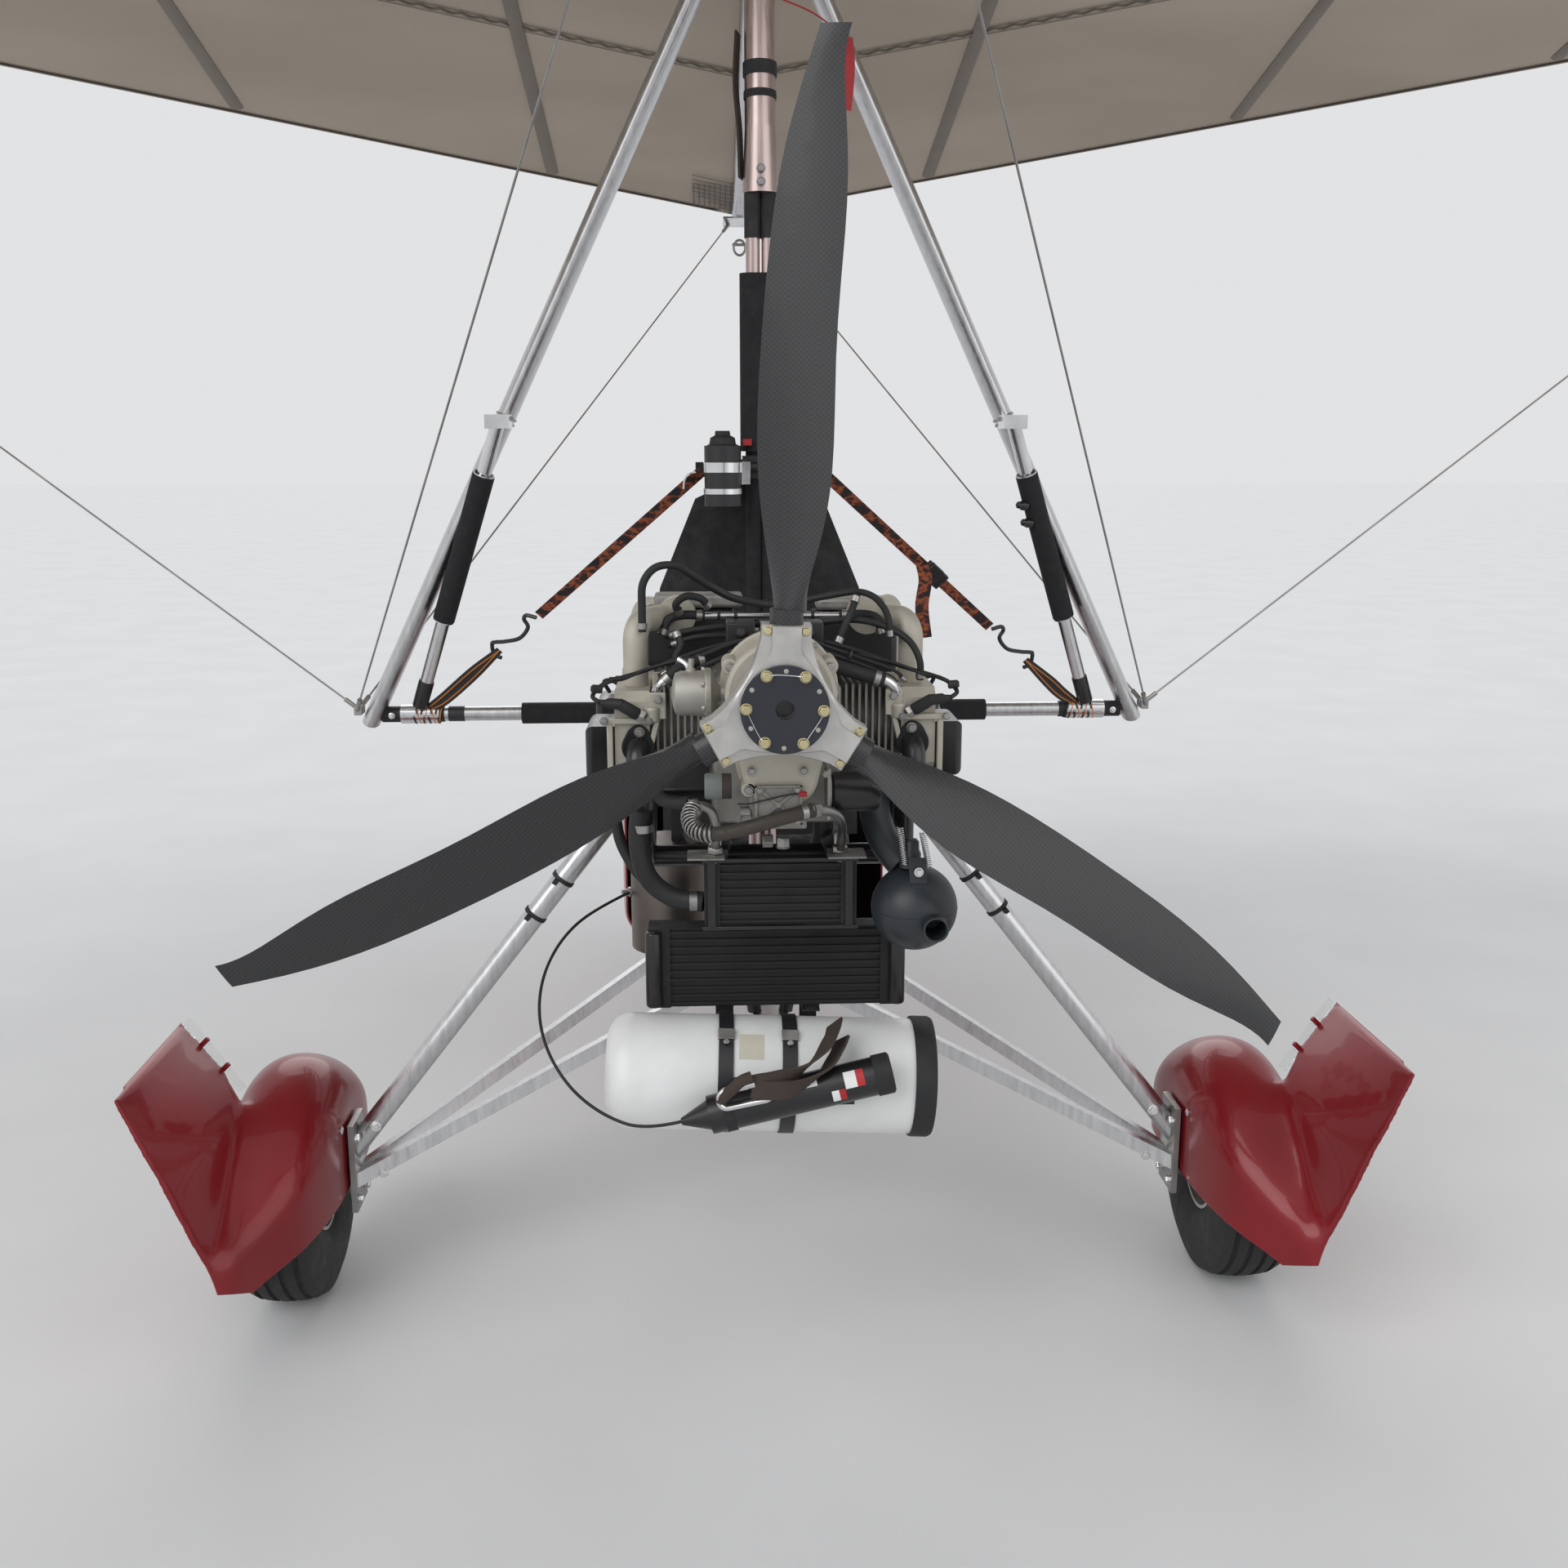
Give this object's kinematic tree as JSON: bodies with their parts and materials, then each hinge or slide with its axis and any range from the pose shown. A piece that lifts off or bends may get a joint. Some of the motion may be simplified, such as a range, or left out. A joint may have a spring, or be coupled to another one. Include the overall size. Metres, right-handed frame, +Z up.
{
  "type": "weight-shift microlight aircraft with a tandem-seat trike",
  "caption": "Weight-shift microlight: an open trike with a rear pusher propeller on three wheels, hung under a swept fabric wing with its control bar.",
  "frame": {"origin": "centre of the whole aircraft's box, on the ground under the wheels", "axes": "+X to the right wing tip, +Y forward to the nose wheel, +Z up"},
  "size_m": [9.9, 3.2702, 2.8827],
  "materials": {
    "frame_tube": "satin",
    "streamline_tube": "polished",
    "dark_steel": "satin black",
    "bright_steel": "brushed",
    "pad_foam": "matt foam",
    "red_gloss": "metallic red gloss",
    "clear_screen": "clear",
    "panel_black": "matt",
    "tank_plastic": "translucent white",
    "seat_fabric": "black fabric",
    "cast_grey": "sand cast",
    "head_beige": "cast",
    "cover_black": "satin black",
    "intake_cast": "cast",
    "exhaust_steel": "heat dulled",
    "silencer_black": "satin black",
    "cooler_black": "satin black",
    "tank_metal": "dull",
    "canister_white": "white",
    "rocket_black": "semi-gloss",
    "cable_black": "semi-gloss",
    "hub_cast": "cast",
    "disc_black": "anodised",
    "blade_carbon": "carbon weave",
    "tyre_rubber": "rubber",
    "rim_alloy": "cast",
    "sail_cloth": "sailcloth",
    "stay_steel": "stranded"
  },
  "bodies": {
    "trike": {"keel_beam": "frame_tube", "mast_lower": "frame_tube", "mast_upper": "frame_tube", "mast_pad": "pad_foam", "mast_bracket": "dark_steel", "engine_mount": "dark_steel", "gear_struts": "frame_tube", "wishbones": "frame_tube", "stub_axles": "bright_steel", "spats": "red_gloss", "pod": "red_gloss", "windscreen": "clear_screen", "instrument_panel": "panel_black", "fuel_tank": "tank_plastic", "seat_rear_base": "seat_fabric", "seat_rear_back": "seat_fabric", "seat_front_base": "seat_fabric", "seat_front_back": "seat_fabric", "engine_core": "cast_grey", "engine_cylinders": "cast_grey", "engine_heads": "head_beige", "valve_covers": "cover_black", "intake": "intake_cast", "exhaust": "exhaust_steel", "silencer": "silencer_black", "oil_cooler": "cooler_black", "radiator": "cooler_black", "oil_tank": "tank_metal", "canister": "canister_white", "canister_rack": "dark_steel", "rocket_tube": "rocket_black", "activation_cable": "cable_black"},
    "propeller": {"prop_hub": "hub_cast", "prop_disc": "disc_black", "prop_blades": "blade_carbon"},
    "wheel_left": {"tyre_left": "tyre_rubber", "rim_left": "rim_alloy"},
    "wheel_right": {"tyre_right": "tyre_rubber", "rim_right": "rim_alloy"},
    "nose_fork": {"nose_fork": "dark_steel", "nose_guard": "red_gloss"},
    "wheel_nose": {"tyre_nose": "tyre_rubber", "rim_nose": "rim_alloy"},
    "hang_block": {"hang_block": "bright_steel"},
    "wing": {"hang_bracket": "bright_steel", "keel_tube": "frame_tube", "nose_plate": "bright_steel", "uprights": "streamline_tube", "base_bar": "frame_tube", "grips": "frame_tube", "sail_right": "sail_cloth", "sail_left": "sail_cloth", "wires": "stay_steel"}
  },
  "joints": [
    {"name": "propeller_spin", "type": "hinge", "parent": "trike", "child": "propeller", "pos_m": [0, -1.05492, 1.155], "axis": [0, 1, 0], "continuous": true},
    {"name": "wheel_left_spin", "type": "hinge", "parent": "trike", "child": "wheel_left", "pos_m": [-0.85, -0.51492, 0.2], "axis": [1, 0, 0], "continuous": true},
    {"name": "wheel_right_spin", "type": "hinge", "parent": "trike", "child": "wheel_right", "pos_m": [0.85, -0.51492, 0.2], "axis": [1, 0, 0], "continuous": true},
    {"name": "nose_steer", "type": "hinge", "parent": "trike", "child": "nose_fork", "pos_m": [0, 1.12508, 0.5], "axis": [0, -0.342, 0.9397], "range_deg": [-25, 25]},
    {"name": "wheel_nose_spin", "type": "hinge", "parent": "nose_fork", "child": "wheel_nose", "pos_m": [0, 1.24701, 0.165], "axis": [1, 0, 0], "continuous": true},
    {"name": "wing_pitch", "type": "hinge", "parent": "trike", "child": "hang_block", "pos_m": [0, -0.20992, 2.345], "axis": [1, 0, 0], "range_deg": [0, 30]},
    {"name": "wing_roll", "type": "hinge", "parent": "hang_block", "child": "wing", "pos_m": [0, -0.20992, 2.4], "axis": [0, 0.9764, -0.2158], "range_deg": [-15, 15]}
  ]
}
